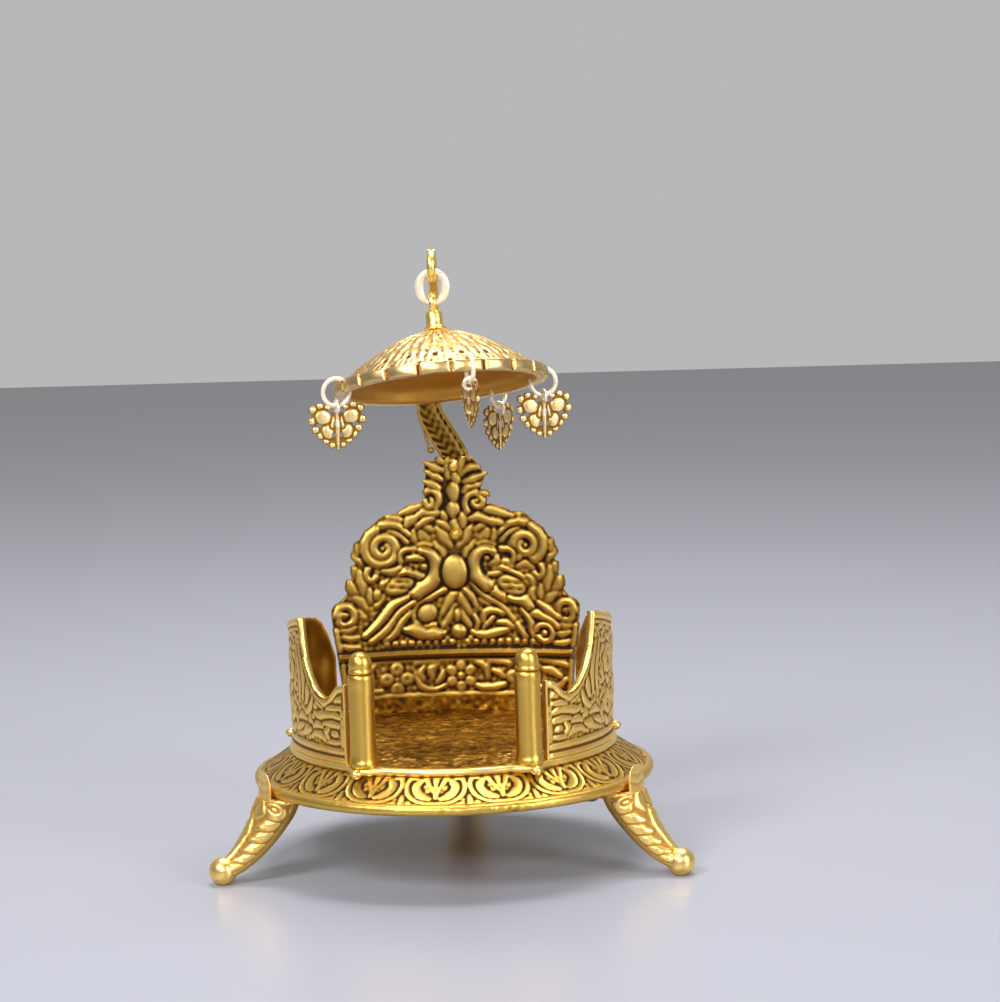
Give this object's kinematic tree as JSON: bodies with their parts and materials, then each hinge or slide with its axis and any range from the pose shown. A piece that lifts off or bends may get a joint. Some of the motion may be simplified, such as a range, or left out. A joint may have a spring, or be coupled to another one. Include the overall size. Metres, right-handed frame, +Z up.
{
  "type": "deity simhasan throne",
  "caption": "Small gilt metal throne for a deity figure: footed round base, curved side wings, tall crested back and a hanging parasol with leaf drops.",
  "frame": {"origin": "on the table under the throne, midway between the front of the rim and the back of the rear foot, on the plane that halves the seat", "axes": "+Z up, -Y towards the open front of the seat, +X to the viewer's right"},
  "size_m": [0.1396, 0.1366, 0.1786],
  "materials": {
    "gilt_antique": "gilt casting with dark oxidised recesses and polished highs",
    "gilt_polished": "polished gilt",
    "gilt_seat": "rough, dark amber gilt",
    "gilt_bright": "pale bright gilt wire and castings",
    "screw_steel": "plain zinc-plated steel"
  },
  "bodies": {
    "throne": {"base_plate": "gilt_antique", "seat_plate": "gilt_seat", "leg_left": "gilt_polished", "leg_right": "gilt_polished", "leg_rear": "gilt_polished", "leg_screw_left": "screw_steel", "leg_screw_right": "screw_steel", "leg_screw_rear": "screw_steel", "wing_left": "gilt_antique", "wing_right": "gilt_antique", "post_left": "gilt_polished", "post_right": "gilt_polished", "post_cap_left": "gilt_polished", "post_cap_right": "gilt_polished", "post_screw_left": "screw_steel", "post_screw_right": "screw_steel", "back_panel": "gilt_antique", "canopy_arm": "gilt_antique", "arm_rivet_lower": "gilt_polished", "arm_rivet_upper": "gilt_polished"},
    "ring": {"hanging_ring": "gilt_bright"},
    "parasol": {"canopy_shell": "gilt_antique", "canopy_stem": "gilt_polished", "stem_nut": "screw_steel"},
    "hook_front": {"rim_ring_front": "gilt_bright"},
    "hook_right": {"rim_ring_right": "gilt_bright"},
    "hook_rear": {"rim_ring_rear": "gilt_bright"},
    "hook_left": {"rim_ring_left": "gilt_bright"},
    "leaf_front": {"leaf_drop_front": "gilt_bright"},
    "leaf_right": {"leaf_drop_right": "gilt_bright"},
    "leaf_rear": {"leaf_drop_rear": "gilt_bright"},
    "leaf_left": {"leaf_drop_left": "gilt_bright"}
  },
  "joints": [
    {"name": "ring_sway", "type": "hinge", "parent": "throne", "child": "ring", "pos_m": [-0.00273, 0.0046, 0.1699], "axis": [0, 1, 0], "range_deg": [0, 12]},
    {"name": "parasol_tilt", "type": "hinge", "parent": "ring", "child": "parasol", "pos_m": [-0.00273, 0.0046, 0.16275], "axis": [1, 0, 0], "range_deg": [-20, 0]},
    {"name": "hook_swing_front", "type": "hinge", "parent": "parasol", "child": "hook_front", "pos_m": [0.00903, -0.03038, 0.14576], "axis": [0.9484, 0.3171, 0], "range_deg": [-22, 22]},
    {"name": "hook_swing_right", "type": "hinge", "parent": "parasol", "child": "hook_right", "pos_m": [0.02918, 0.01037, 0.13809], "axis": [-0.349, 0.9371, 0], "range_deg": [-22, 22]},
    {"name": "hook_swing_rear", "type": "hinge", "parent": "parasol", "child": "hook_rear", "pos_m": [0.01513, 0.02651, 0.13332], "axis": [-0.8631, 0.5051, 0], "range_deg": [-22, 22]},
    {"name": "hook_swing_left", "type": "hinge", "parent": "parasol", "child": "hook_left", "pos_m": [-0.03087, -0.01202, 0.13845], "axis": [0.349, -0.9371, 0], "range_deg": [-22, 22]},
    {"name": "leaf_sway_front", "type": "hinge", "parent": "hook_front", "child": "leaf_front", "pos_m": [0.00903, -0.03038, 0.14171], "axis": [0.3171, -0.9484, 0], "range_deg": [-25, 25]},
    {"name": "leaf_sway_right", "type": "hinge", "parent": "hook_right", "child": "leaf_right", "pos_m": [0.02918, 0.01037, 0.13404], "axis": [0.9371, 0.349, 0], "range_deg": [-25, 25]},
    {"name": "leaf_sway_rear", "type": "hinge", "parent": "hook_rear", "child": "leaf_rear", "pos_m": [0.01513, 0.02651, 0.12927], "axis": [0.5051, 0.8631, 0], "range_deg": [-25, 25]},
    {"name": "leaf_sway_left", "type": "hinge", "parent": "hook_left", "child": "leaf_left", "pos_m": [-0.03087, -0.01202, 0.13439], "axis": [-0.9371, -0.349, 0], "range_deg": [-25, 25]}
  ]
}
